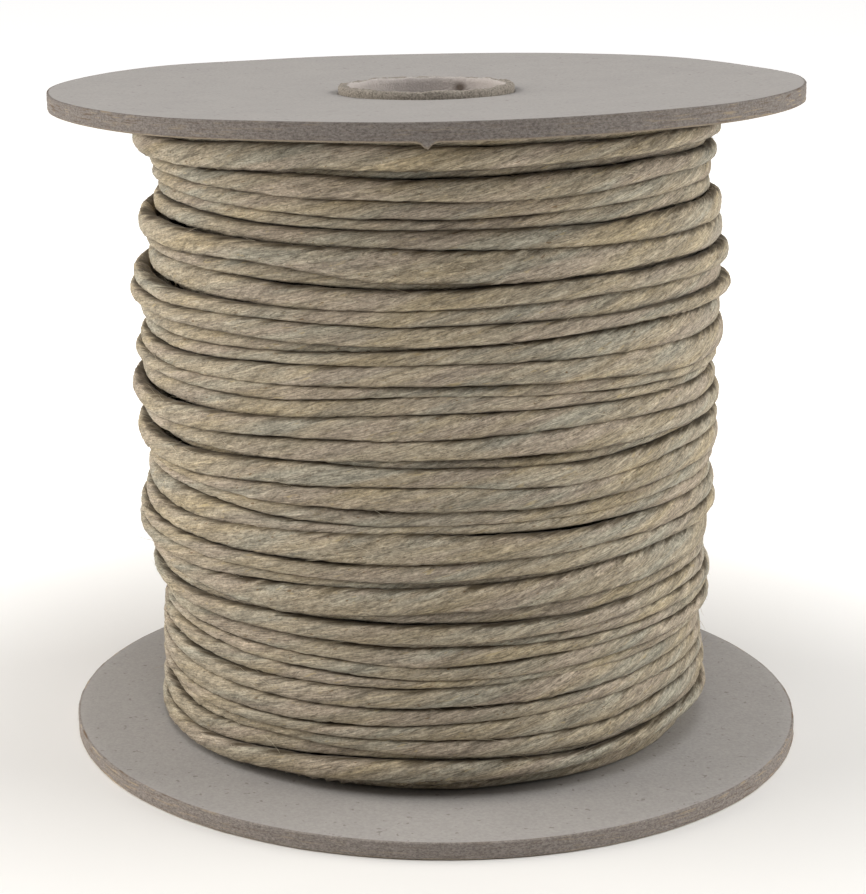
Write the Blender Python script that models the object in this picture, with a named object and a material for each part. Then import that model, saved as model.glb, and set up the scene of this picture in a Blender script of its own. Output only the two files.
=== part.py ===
"""Hemp cord wound on a cardboard spool.

Two round greyboard flanges are held apart by a paper core tube, and an uneven twisted hemp cord is
wound on the tube between them. The spool stands on its lower flange, with the flange's underside at
height zero. The front is at -Y and +Z is up.

Every piece is first made straight and round about the Z axis. It then goes through one lean, because
the upper flange of the real spool sits a little to the left of the lower one and slopes. The upper
flange is also dished: its hole lies lower than its rim, and the tube's top edge lies lower with it.
"""

import bisect
import math
from collections import namedtuple

import bmesh
import bpy

MM = 0.001

# Driving dimensions of the spool
FLANGE_RADIUS = 62.5 * MM
UPPER_FLANGE_RADIUS = 61.75 * MM
BOARD_THICKNESS = 2.8 * MM
BOARD_EDGE_ROUNDING = 0.35 * MM
SPOOL_HEIGHT = 110.0 * MM
UPPER_DISH = 1.6 * MM
TUBE_OUTER_RADIUS = 14.5 * MM
TUBE_WALL = 1.8 * MM
TUBE_STANDS_PROUD = 1.35 * MM
TUBE_FOOT_RECESS = 0.4 * MM
TUBE_EDGE_ROUNDING = 0.3 * MM
CLEARANCE = 0.3 * MM
HOLE_RADIUS = TUBE_OUTER_RADIUS + CLEARANCE

# How far the upper flange sits to the side, and how much its right side is the higher
LEAN_SIDEWAYS = -2.76 * MM / SPOOL_HEIGHT
LEAN_SLOPE = 0.0246 / SPOOL_HEIGHT

# Driving dimensions of the cord
CORD_RADIUS = 1.5 * MM
DEEPEST_VALLEY = 1.25 * MM
SHOULDER_SHARE = 0.27
SHOULDER_DROP = 0.12 * MM

# The winding's top and foot are flat rings that end under the first and the last turn
WINDING_TOP_RADIUS = 44.5 * MM
WINDING_FOOT_RADIUS = 42.5 * MM

# Facets around each piece
BOARD_COLUMNS = 72
TUBE_COLUMNS = 48
WINDING_COLUMNS = 36

# The visible turns from the top down, in millimetres: the height of the cord's middle on the left
# (60 degrees round from the front), at the front and on the right, then how far the cord reaches
# out from the axis on the left side, at the front and on the right side.
Turn = namedtuple("Turn", "left front right left_reach front_reach right_reach")
TURNS = [
    Turn(104.9, 105.2, 105.2, 46.6, 46.0, 46.6),
    Turn(102.0, 102.7, 102.6, 48.3, 47.5, 48.3),
    Turn(100.2, 100.5, 100.9, 45.8, 46.2, 46.2),
    Turn(98.7, 98.1, 99.2, 45.8, 47.4, 47.7),
    Turn(96.5, 95.2, 96.8, 45.4, 47.2, 46.9),
    Turn(94.3, 93.2, 94.1, 44.6, 46.6, 46.7),
    Turn(91.7, 91.0, 90.9, 45.5, 47.4, 48.5),
    Turn(88.4, 87.2, 87.2, 48.1, 48.2, 48.9),
    Turn(85.7, 85.0, 85.4, 47.4, 46.3, 47.4),
    Turn(82.9, 82.4, 83.4, 46.6, 47.6, 49.9),
    Turn(79.9, 79.3, 80.1, 49.4, 47.2, 48.7),
    Turn(77.0, 76.3, 77.2, 49.9, 47.6, 50.3),
    Turn(74.1, 74.7, 75.4, 48.5, 46.4, 49.2),
    Turn(71.5, 73.0, 73.2, 47.7, 47.4, 48.7),
    Turn(69.1, 70.7, 69.9, 48.6, 47.8, 49.2),
    Turn(66.8, 68.3, 66.4, 49.6, 46.9, 48.3),
    Turn(64.1, 66.0, 64.4, 48.3, 47.1, 47.1),
    Turn(60.6, 62.8, 62.2, 50.3, 47.8, 47.9),
    Turn(57.2, 59.4, 59.3, 48.8, 47.9, 48.7),
    Turn(55.6, 57.2, 57.2, 47.2, 46.9, 47.4),
    Turn(53.2, 55.0, 55.3, 49.8, 47.6, 48.4),
    Turn(50.6, 51.7, 52.6, 48.5, 47.8, 48.7),
    Turn(48.6, 48.6, 49.4, 47.9, 46.8, 47.8),
    Turn(46.0, 46.5, 46.9, 48.4, 46.8, 47.3),
    Turn(42.6, 43.7, 44.3, 48.9, 48.0, 48.1),
    Turn(39.7, 40.0, 41.6, 50.0, 47.4, 48.3),
    Turn(37.0, 37.7, 38.9, 50.6, 47.0, 47.9),
    Turn(33.6, 35.2, 36.2, 48.6, 47.9, 47.0),
    Turn(31.8, 32.7, 33.5, 47.2, 46.3, 46.6),
    Turn(29.5, 30.2, 30.6, 48.3, 47.5, 46.8),
    Turn(27.9, 28.2, 27.9, 46.4, 46.5, 47.9),
    Turn(26.2, 26.2, 25.9, 46.3, 47.2, 46.9),
    Turn(24.1, 23.7, 23.9, 46.2, 46.9, 47.6),
    Turn(21.7, 21.8, 22.4, 46.8, 46.6, 46.3),
    Turn(19.0, 19.5, 20.8, 47.1, 47.4, 46.0),
    Turn(15.9, 16.7, 18.2, 47.3, 47.2, 46.2),
    Turn(12.9, 13.9, 15.4, 47.2, 47.3, 46.5),
    Turn(10.7, 11.3, 12.9, 45.9, 47.2, 46.8),
    Turn(8.2, 9.3, 10.8, 47.4, 46.4, 47.0),
    Turn(5.6, 7.3, 8.6, 47.9, 47.6, 47.2),
    Turn(4.4, 5.4, 6.6, 43.6, 44.4, 45.6),
]

# Where the columns of the table lie, as shares of a turn that starts and ends at the back
LEFT_SHARE, FRONT_SHARE, RIGHT_SHARE = 1 / 3, 1 / 2, 2 / 3
LEFT_EDGE_SHARE, RIGHT_EDGE_SHARE = 0.27, 0.73

# Colour, roughness and metallic value of each material
GREYBOARD = ("greyboard", (0.36, 0.33, 0.30), 0.92, 0.0)
CORE_PAPER = ("core paper", (0.40, 0.33, 0.24), 0.90, 0.0)
HEMP = ("hemp", (0.45, 0.39, 0.28), 0.88, 0.0)


def clear_scene():
    """Remove whatever the scene holds."""
    for found in list(bpy.data.objects):
        bpy.data.objects.remove(found, do_unlink=True)


def make_material(name, colour, roughness, metallic):
    """A plain surface with the colour of the real piece."""
    material = bpy.data.materials.new(name)
    material.use_nodes = True
    surface = material.node_tree.nodes["Principled BSDF"]
    surface.inputs["Base Color"].default_value = (*colour, 1.0)
    surface.inputs["Roughness"].default_value = roughness
    surface.inputs["Metallic"].default_value = metallic
    return material


def lean(point):
    """Move a point of the straight spool to where it lies on the leaning one.

    The last term puts the whole spool's extent to the left and to the right at the same distance.
    """
    x, y, z = point
    upper_shift = LEAN_SIDEWAYS * (SPOOL_HEIGHT - BOARD_EDGE_ROUNDING)
    centring = -0.5 * (upper_shift + FLANGE_RADIUS - UPPER_FLANGE_RADIUS)
    return (x + LEAN_SIDEWAYS * z + centring, y, z * (1 + LEAN_SLOPE * x))


def finish_piece(name, bm, finish, sharp_angle=math.radians(35)):
    """Lean the shape, turn its faces outwards and link it to the scene as one named object."""
    for vertex in bm.verts:
        vertex.co = lean(vertex.co)
    bmesh.ops.recalc_face_normals(bm, faces=bm.faces)
    mesh = bpy.data.meshes.new(name)
    bm.to_mesh(mesh)
    bm.free()
    mesh.shade_smooth()
    mesh.set_sharp_from_angle(angle=sharp_angle)
    mesh.materials.append(make_material(*finish))
    piece = bpy.data.objects.new(name, mesh)
    bpy.context.scene.collection.objects.link(piece)
    return piece


def turned_piece(name, profile, columns, finish):
    """A ring-shaped solid: a closed profile of (radius, height) points spun about the Z axis."""
    bm = bmesh.new()
    points = [bm.verts.new((radius, 0.0, height)) for radius, height in profile]
    sides = [bm.edges.new((points[i - 1], points[i])) for i in range(len(points))]
    bmesh.ops.spin(
        bm,
        geom=points + sides,
        cent=(0.0, 0.0, 0.0),
        axis=(0.0, 0.0, 1.0),
        angle=math.tau,
        steps=columns,
        use_merge=True,
    )
    return finish_piece(name, bm, finish)


def ring_profile(inner, outer, low, high, rounding):
    """The cut of a flat ring or a tube wall, with its four corners taken off."""
    return [
        (inner, low + rounding),
        (inner + rounding, low),
        (outer - rounding, low),
        (outer, low + rounding),
        (outer, high - rounding),
        (outer - rounding, high),
        (inner + rounding, high),
        (inner, high - rounding),
    ]


def dish_drop(radius, dish):
    """How far a dished flange lies below its rim at this radius: a straight fall to its hole."""
    return dish * (UPPER_FLANGE_RADIUS - radius) / (UPPER_FLANGE_RADIUS - HOLE_RADIUS)


def make_flange(name, outer, underside, dish):
    """A die-cut greyboard disc with the hole that the core tube passes through."""
    flat = ring_profile(
        HOLE_RADIUS, outer, underside, underside + BOARD_THICKNESS, BOARD_EDGE_ROUNDING
    )
    profile = [(radius, height - dish_drop(radius, dish)) for radius, height in flat]
    return turned_piece(name, profile, BOARD_COLUMNS, GREYBOARD)


def make_core_tube():
    """The paper tube, from just above the surface it stands over to a little above the hole's edge."""
    profile = ring_profile(
        TUBE_OUTER_RADIUS - TUBE_WALL,
        TUBE_OUTER_RADIUS,
        TUBE_FOOT_RECESS,
        SPOOL_HEIGHT - UPPER_DISH + TUBE_STANDS_PROUD,
        TUBE_EDGE_ROUNDING,
    )
    return turned_piece("core_tube", profile, TUBE_COLUMNS, CORE_PAPER)


def curve_through(stations, values, at):
    """Read a smooth curve through the values at the stations: a cubic between each two of them."""
    i = min(max(bisect.bisect_right(stations, at) - 1, 1), len(stations) - 3)
    before, start, end, after = stations[i - 1 : i + 3]
    a, b, c, d = values[i - 1 : i + 3]
    span = end - start
    start_slope = (c - a) / (end - before) * span
    end_slope = (d - b) / (after - start) * span
    t = (at - start) / span
    return (
        b * (2 * t**3 - 3 * t**2 + 1)
        + start_slope * (t**3 - 2 * t**2 + t)
        + c * (3 * t**2 - 2 * t**3)
        + end_slope * (t**3 - t**2)
    )


def path_stations(turns, shares, columns):
    """Stations and values along the whole cord, counted in turns, for three columns of the table.

    At the back each turn passes into the next, halfway between the right of one and the left of
    the other.
    """
    stations = []
    values = []
    for number, turn in enumerate(turns):
        left, front, right = (getattr(turn, column) for column in columns)
        came_from = turns[number - 1] if number else turn
        stations.append(float(number))
        values.append(0.5 * (getattr(came_from, columns[2]) + left))
        for share, value in zip(shares, (left, front, right)):
            stations.append(number + share)
            values.append(value)
    return stations, values


def with_end_turns(lowest, highest):
    """The table with a flattened turn added at each end, where the winding meets the discs."""
    inner_reach = 45.0
    above = Turn(highest, highest, highest, inner_reach, inner_reach, inner_reach)
    below = Turn(lowest, lowest, lowest, inner_reach - 2, inner_reach - 2, inner_reach - 2)
    return [above, *TURNS, below, below]


def winding_columns(lowest, highest):
    """For each step along the cord: points on its upper shoulder, lower shoulder and valley below."""
    turns = with_end_turns(lowest / MM + 0.4, highest / MM - 0.4)
    height_stations, heights = path_stations(
        turns, (LEFT_SHARE, FRONT_SHARE, RIGHT_SHARE), ("left", "front", "right")
    )
    reach_stations, reaches = path_stations(
        turns,
        (LEFT_EDGE_SHARE, FRONT_SHARE, RIGHT_EDGE_SHARE),
        ("left_reach", "front_reach", "right_reach"),
    )

    def height(at):
        return curve_through(height_stations, heights, at) * MM

    def reach(at):
        return curve_through(reach_stations, reaches, at) * MM

    columns = []
    for step in range(len(TURNS) * WINDING_COLUMNS + 1):
        at = 1 + step / WINDING_COLUMNS
        above, here, below = height(at - 1), height(at), height(at + 1)
        angle = -math.pi / 2 - math.pi + math.tau * at
        half_gap = min(0.5 * (here - below), CORD_RADIUS)
        sink = min(CORD_RADIUS - math.sqrt(CORD_RADIUS**2 - half_gap**2), DEEPEST_VALLEY)
        rows = [
            (reach(at) - SHOULDER_DROP, here + SHOULDER_SHARE * (above - here)),
            (reach(at) - SHOULDER_DROP, here - SHOULDER_SHARE * (here - below)),
            (min(reach(at), reach(at + 1)) - sink, 0.5 * (here + below)),
        ]
        columns.append([(r * math.cos(angle), r * math.sin(angle), z) for r, z in rows])
    return columns


def ring_points(bm, radius, height):
    """A level ring of points that starts at the back, as the cord does."""
    points = []
    for column in range(WINDING_COLUMNS):
        angle = math.pi / 2 + math.tau * column / WINDING_COLUMNS
        points.append(bm.verts.new((radius * math.cos(angle), radius * math.sin(angle), height)))
    return points


def make_winding():
    """The wound cord as one hollow solid. Its skin is a strip that follows the cord round and round.

    A turn's lower edge is joined to the upper edge of the turn below it, and the first and the last
    turn end in a small step at the back. The top slopes as the dished flange above it does.
    """
    lowest = BOARD_THICKNESS + CLEARANCE
    under_rim = SPOOL_HEIGHT - BOARD_THICKNESS - CLEARANCE
    highest = under_rim - dish_drop(WINDING_TOP_RADIUS, UPPER_DISH)
    bm = bmesh.new()
    strip = [[bm.verts.new(point) for point in rows] for rows in winding_columns(lowest, highest)]
    last = len(strip) - 1
    around = WINDING_COLUMNS

    for step in range(last):
        here, onward = strip[step], strip[step + 1]
        bm.faces.new((here[0], onward[0], onward[1], here[1]))
        bm.faces.new((here[1], onward[1], onward[2], here[2]))
        if step + around < last:
            below, below_onward = strip[step + around], strip[step + around + 1]
            bm.faces.new((here[2], onward[2], below_onward[0], below[0]))

    top = ring_points(bm, WINDING_TOP_RADIUS, highest)
    foot = ring_points(bm, WINDING_FOOT_RADIUS, lowest)
    top_bore = ring_points(bm, HOLE_RADIUS, under_rim - UPPER_DISH)
    foot_bore = ring_points(bm, HOLE_RADIUS, lowest)
    final_turn = last - around
    for column in range(around):
        onward = (column + 1) % around
        bm.faces.new((top[column], top[onward], strip[column + 1][0], strip[column][0]))
        final, final_onward = strip[final_turn + column], strip[final_turn + column + 1]
        bm.faces.new((final[2], final_onward[2], foot[onward], foot[column]))
        bm.faces.new((top_bore[column], top_bore[onward], top[onward], top[column]))
        bm.faces.new((foot[column], foot[onward], foot_bore[onward], foot_bore[column]))
        bm.faces.new((foot_bore[column], foot_bore[onward], top_bore[onward], top_bore[column]))
    bm.faces.new((top[0], *strip[0], strip[around][0]))
    bm.faces.new((strip[final_turn][2], *strip[last], foot[0]))
    return finish_piece("cord_winding", bm, HEMP, sharp_angle=math.radians(70))


def main():
    clear_scene()
    make_flange("flange_bottom", FLANGE_RADIUS, 0.0, 0.0)
    make_flange("flange_top", UPPER_FLANGE_RADIUS, SPOOL_HEIGHT - BOARD_THICKNESS, UPPER_DISH)
    make_core_tube()
    make_winding()


main()
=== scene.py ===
import math
from collections import namedtuple

import bpy
import numpy as np
from mathutils import Matrix, Vector, noise


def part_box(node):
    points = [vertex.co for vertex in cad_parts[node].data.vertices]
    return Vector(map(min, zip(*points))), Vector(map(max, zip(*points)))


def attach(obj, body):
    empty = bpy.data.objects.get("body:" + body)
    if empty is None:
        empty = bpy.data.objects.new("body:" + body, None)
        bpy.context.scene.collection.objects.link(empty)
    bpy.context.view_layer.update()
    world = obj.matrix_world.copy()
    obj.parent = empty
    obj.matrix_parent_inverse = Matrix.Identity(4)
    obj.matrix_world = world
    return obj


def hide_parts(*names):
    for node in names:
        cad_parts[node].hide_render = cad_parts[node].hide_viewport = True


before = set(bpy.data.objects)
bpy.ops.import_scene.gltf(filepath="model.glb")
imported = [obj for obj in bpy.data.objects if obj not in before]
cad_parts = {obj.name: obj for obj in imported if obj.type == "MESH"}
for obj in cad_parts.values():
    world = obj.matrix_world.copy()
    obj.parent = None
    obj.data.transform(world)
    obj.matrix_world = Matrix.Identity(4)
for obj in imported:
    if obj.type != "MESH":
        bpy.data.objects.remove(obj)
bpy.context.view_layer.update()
mm = 0.001

# the spool: the discs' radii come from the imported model, the rest repeats its sizes
discLow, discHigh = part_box("flange_bottom")
upperLow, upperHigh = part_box("flange_top")
spool = {
    "discRadius": 0.5 * (discHigh.y - discLow.y),
    "upperRadius": 0.5 * (upperHigh.y - upperLow.y),
    "height": 110.0 * mm,
    "dish": 1.6 * mm,  # how much lower the upper disc is at its hole than at its rim
    "board": 2.8 * mm,
    "edgeRounding": 0.35 * mm,
    "tubeRadius": 14.5 * mm,
    "tubeWall": 1.8 * mm,
    "tubeProud": 1.35 * mm,  # over the board round it
    "tubeRecess": 0.4 * mm,
    "clearance": 0.3 * mm,
    "leanSideways": -2.76 / 110.0,  # the upper disc sits a little to the left
    "leanSlope": 0.0246 / 0.110,  # and its right side is the higher
}


def dishDrop(radius):
    hole = spool["tubeRadius"] + spool["clearance"]
    return spool["dish"] * (spool["upperRadius"] - radius) / (spool["upperRadius"] - hole)


def toLinear(code):
    # "#rrggbb" as a linear colour
    parts = [int(code[i : i + 2], 16) / 255 for i in (1, 3, 5)]
    linear = [p / 12.92 if p <= 0.04045 else ((p + 0.055) / 1.055) ** 2.4 for p in parts]
    return (*linear, 1.0)


def pickSocket(sockets, key):
    # by number, or the first one of that name that the node's settings leave in use
    if isinstance(key, int):
        return sockets[key]
    return next(s for s in sockets if s.name == key and s.enabled)


def fillInputs(tree, node, inputs):
    # an input takes a value, a socket, or a node, which stands for its first output in use
    for key, value in inputs.items():
        socket = pickSocket(node.inputs, key)
        if isinstance(value, bpy.types.Node):
            value = next(s for s in value.outputs if s.enabled)
        if isinstance(value, bpy.types.NodeSocket):
            tree.links.new(value, socket)
        else:
            socket.default_value = value
    return node


def addNode(tree, kind, settings, inputs):
    node = tree.nodes.new(kind)
    for name, value in settings.items():
        setattr(node, name, value)
    return fillInputs(tree, node, inputs)


def between(fromMin, fromMax, toMin=0.0, toMax=1.0):
    # the ends of a range of values, and of what they turn into
    return {"From Min": fromMin, "From Max": fromMax, "To Min": toMin, "To Max": toMax}


# settings that many nodes share
times, timesPlus, minus, toPower, unsigned, lengthOf, scaled = (
    {"operation": name}
    for name in ("MULTIPLY", "MULTIPLY_ADD", "SUBTRACT", "POWER", "ABSOLUTE", "LENGTH", "SCALE")
)
mixColours, mixNumbers = {"data_type": "RGBA"}, {"data_type": "FLOAT"}


def newTree(name, inputs):
    # a geometry tree with named inputs, and its input node
    tree = bpy.data.node_groups.new(name, "GeometryNodeTree")
    for label, kind in inputs.items():
        tree.interface.new_socket(label, in_out="INPUT", socket_type="NodeSocket" + kind)
    tree.interface.new_socket("Geometry", in_out="OUTPUT", socket_type="NodeSocketGeometry")
    return tree, tree.nodes.new("NodeGroupInput").outputs


def grow(piece, tree, values):
    # run the tree on the piece with these values, and keep the result as its plain mesh
    modifier = piece.modifiers.new(tree.name, "NODES")
    modifier.node_group = tree
    for item in tree.interface.items_tree:
        if item.in_out == "INPUT" and item.name in values:
            modifier[item.identifier] = values[item.name]
    graph = bpy.context.evaluated_depsgraph_get()
    shape = bpy.data.meshes.new_from_object(
        piece.evaluated_get(graph), preserve_all_data_layers=True, depsgraph=graph
    )
    piece.modifiers.remove(modifier)
    piece.data = shape
    shape.name = piece.name
    return piece


def newPiece(name, points, edges, faces):
    shape = bpy.data.meshes.new(name)
    shape.from_pydata(points, edges, faces)
    piece = bpy.data.objects.new(name, shape)
    bpy.context.scene.collection.objects.link(piece)
    return piece


def storeOn(piece, name, kind, values):
    attribute = piece.data.attributes.new(name, kind, "POINT")
    field = "vector" if kind == "FLOAT_VECTOR" else "value"
    attribute.data.foreach_set(field, np.asarray(values, np.float32).ravel())


def leanOver(piece):
    # everything is made straight and round about Z, then leans as the real spool does
    co = np.empty(len(piece.data.vertices) * 3, np.float32)
    piece.data.vertices.foreach_get("co", co)
    x, y, z = co.reshape(-1, 3).astype(float).T
    upperShift = spool["leanSideways"] * (spool["height"] - spool["edgeRounding"])
    centring = -0.5 * (upperShift + spool["discRadius"] - spool["upperRadius"])
    leaned = np.column_stack(
        (x + spool["leanSideways"] * z + centring, y, z * (1 + spool["leanSlope"] * x))
    )
    piece.data.vertices.foreach_set("co", leaned.astype(np.float32).ravel())
    piece.data.update()
    return piece


def finishPiece(piece, slotName, *nodes):
    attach(piece, "root")
    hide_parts(*nodes)
    print(piece.name, len(piece.data.loop_triangles) or len(piece.data.polygons), "faces")


def newMaterial(name):
    material = bpy.data.materials.new(name)
    material.use_nodes = True
    return material, material.node_tree, material.node_tree.nodes["Principled BSDF"]


# camera: a little above the spool, looking down on it
camera = {
    "place": (-0.05 * mm, -365.0 * mm, 142.2 * mm),
    "pitch": math.radians(14.5),
    "roll": math.radians(0.58),
    "lens": 88.35,
    "sensor": 36.0,
}
eye = bpy.data.objects.new("camera", bpy.data.cameras.new("camera"))
eye.data.lens = camera["lens"]
eye.data.sensor_width = camera["sensor"]
eye.data.clip_start = 0.01
eye.data.clip_end = 20.0
turned = Matrix.Rotation(math.pi / 2 - camera["pitch"], 4, "X") @ Matrix.Rotation(camera["roll"], 4, "Z")
eye.matrix_world = Matrix.Translation(camera["place"]) @ turned
bpy.context.scene.collection.objects.link(eye)
bpy.context.scene.camera = eye
bpy.context.scene.view_settings.view_transform = "Standard"
print("camera set")

# studio light: a tall soft box on each side, a wide one overhead and a small one in front
lights = {
    "left": {"place": (-0.80, 0.0, 0.36), "size": 0.7, "power": 7.0, "colour": "#fffaf2"},
    "right": {"place": (0.82, 0.03, 0.42), "size": 0.7, "power": 6.4, "colour": "#fffdf8"},
    "overhead": {"place": (0.0, 0.15, 1.1), "size": 1.2, "power": 0.9, "colour": "#ffffff"},
    "front": {"place": (0.0, -0.50, 0.90), "size": 0.4, "power": 2.7, "colour": "#ffffff"},
}
room = {"horizon": 0.17, "zenith": 0.56, "front": 0.06, "colour": "#fbfbff"}
lookAt = Vector((0.0, 0.0, 0.055))
for name, light in lights.items():
    lamp = bpy.data.objects.new(name + "_light", bpy.data.lights.new(name + "_light", "AREA"))
    lamp.data.shape = "SQUARE"
    lamp.data.size = light["size"]
    lamp.data.energy = light["power"]
    lamp.data.color = toLinear(light["colour"])[:3]
    lamp.location = light["place"]
    lamp.rotation_euler = (lookAt - lamp.location).to_track_quat("-Z", "Y").to_euler()
    bpy.context.scene.collection.objects.link(lamp)

world = bpy.data.worlds.new("room")
world.use_nodes = True
bpy.context.scene.world = world
sky = world.node_tree
direction = addNode(sky, "ShaderNodeTexCoord", {}, {})
height = addNode(sky, "ShaderNodeSeparateXYZ", {}, {"Vector": direction.outputs["Generated"]})
glow = addNode(
    sky, "ShaderNodeMapRange", {},
    {"Value": height.outputs["Z"], **between(0.0, 1.0, room["horizon"], room["zenith"])},
)
front = addNode(
    sky, "ShaderNodeMapRange", {},
    {"Value": height.outputs["Y"], **between(-0.7, 0.2, room["front"], 1.0)},
)
glow = addNode(sky, "ShaderNodeMath", times, {0: glow, 1: front})
sky.nodes["Background"].inputs["Color"].default_value = toLinear(room["colour"])
sky.links.new(glow.outputs["Value"], sky.nodes["Background"].inputs["Strength"])
print("lights set")


# floor: a sheet of pale matt paper, wide enough to fill the view, that glows with painted light further
# out
floor = {"width": 9.0, "colour": "#f2f1ef", "glow": 0.82, "glowFrom": 0.06, "glowFull": 0.24,
         "grain": 8.0 * mm, "roughness": 0.9, "specular": 0.2}


def makeFloor():
    half = 0.5 * floor["width"]
    corners = [(-half, -half, 0.0), (half, -half, 0.0), (half, half, 0.0), (-half, half, 0.0)]
    sheet = newPiece("floor", [(x, y, -0.02 * mm) for x, y, z in corners], [], [(0, 1, 2, 3)])
    material, tree, surface = newMaterial("matt paper")
    place = addNode(tree, "ShaderNodeTexCoord", {}, {})
    grain = addNode(
        tree, "ShaderNodeTexNoise", {},
        {"Vector": place.outputs["Object"], "Scale": 1 / floor["grain"], "Detail": 2.0},
    )
    away = addNode(tree, "ShaderNodeVectorMath", lengthOf, {0: place.outputs["Object"]})
    # painted light: the paper glows from a little way out from the spool, and the glow lights the spool
    # too
    glow = addNode(
        tree, "ShaderNodeMapRange", {"interpolation_type": "SMOOTHSTEP"},
        {"Value": away.outputs["Value"],
         **between(floor["glowFrom"], floor["glowFull"], 0.0, floor["glow"])},
    )
    parts = addNode(tree, "ShaderNodeSeparateXYZ", {}, {"Vector": place.outputs["Object"]})
    # the painted glow is weaker in front of the spool than behind it
    behind = addNode(
        tree, "ShaderNodeMapRange", {}, {"Value": parts.outputs["Y"], **between(-0.3, 0.1, 0.35, 1.0)}
    )
    glow = addNode(tree, "ShaderNodeMath", times, {0: glow, 1: behind})
    bump = addNode(tree, "ShaderNodeBump", {}, {"Height": grain, "Strength": 0.02, "Distance": 0.1 * mm})
    fillInputs(tree, surface, {
        "Base Color": toLinear(floor["colour"]), "Emission Color": toLinear(floor["colour"]),
        "Emission Strength": glow, "Normal": bump, "Roughness": floor["roughness"],
        "Specular IOR Level": floor["specular"],
    })
    sheet.data.materials.append(material)


makeFloor()
print("floor laid")


# cord: a soft three-strand hemp cord, wound by hand in uneven turns
cord = {
    "radius": 1.5 * mm,
    "lay": 11.5 * mm,  # length of one full twist
    "strands": 3,
    "pointsPerStrand": 6,
    "groove": 0.045,  # depth of the groove between two strands, as a share of the radius
    "squareness": 2.5,  # 2 is a round section, more is one that its neighbours have flattened
    "step": 0.90 * mm,  # between two rings of the mesh
    "pressed": 1.05,  # how much taller a turn is than the room between its neighbours
    "thinnest": 0.9 * mm,
    "thickest": 2.5 * mm,
    "wobble": 0.13 * mm,  # in and out
    "sway": 0.20 * mm,  # up and down
    "lumps": 0.15,
    "fuzz": 0.20 * mm,
    "firstTurn": 0.80,
    "lastTurn": 42.95,
    "cuts": (15.0, 29.0),  # where one band's mesh ends and the next begins, at the back
    "dive": 4.0 * mm,  # how far each end goes in under its neighbours
    "bands": ("upper", "middle", "lower"),
    "underDepth": 2.6 * mm,  # the layer that shows in the creases lies this much deeper
    "underStep": 2.5 * mm,
    "underPoints": 3,
    "meanReach": 47.0 * mm,  # from the axis, to turn lengths of cord into turns
    "underReach": 44.0 * mm,
    "rimReach": 46.0 * mm,  # where the cord meets the dished upper disc
    "unevenness": 0.6,  # of the twist
    "diveTurns": 0.12,
    "spare": 0.15 * mm,  # left between the cord and the discs
    "turnsDrawn": 46,  # how many turns long each random line is
    # how much the cord changes in width, height and reach, and every how many turns
    "widthChange": (1.03, 0.07, 0.04),
    "depthChange": (1, 0.06, 0.07),
    "swayEvery": 0.07,
    "rippleEvery": 0.022,
    "wobbleEvery": 0.06,
    "seed": 7,
}

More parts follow.
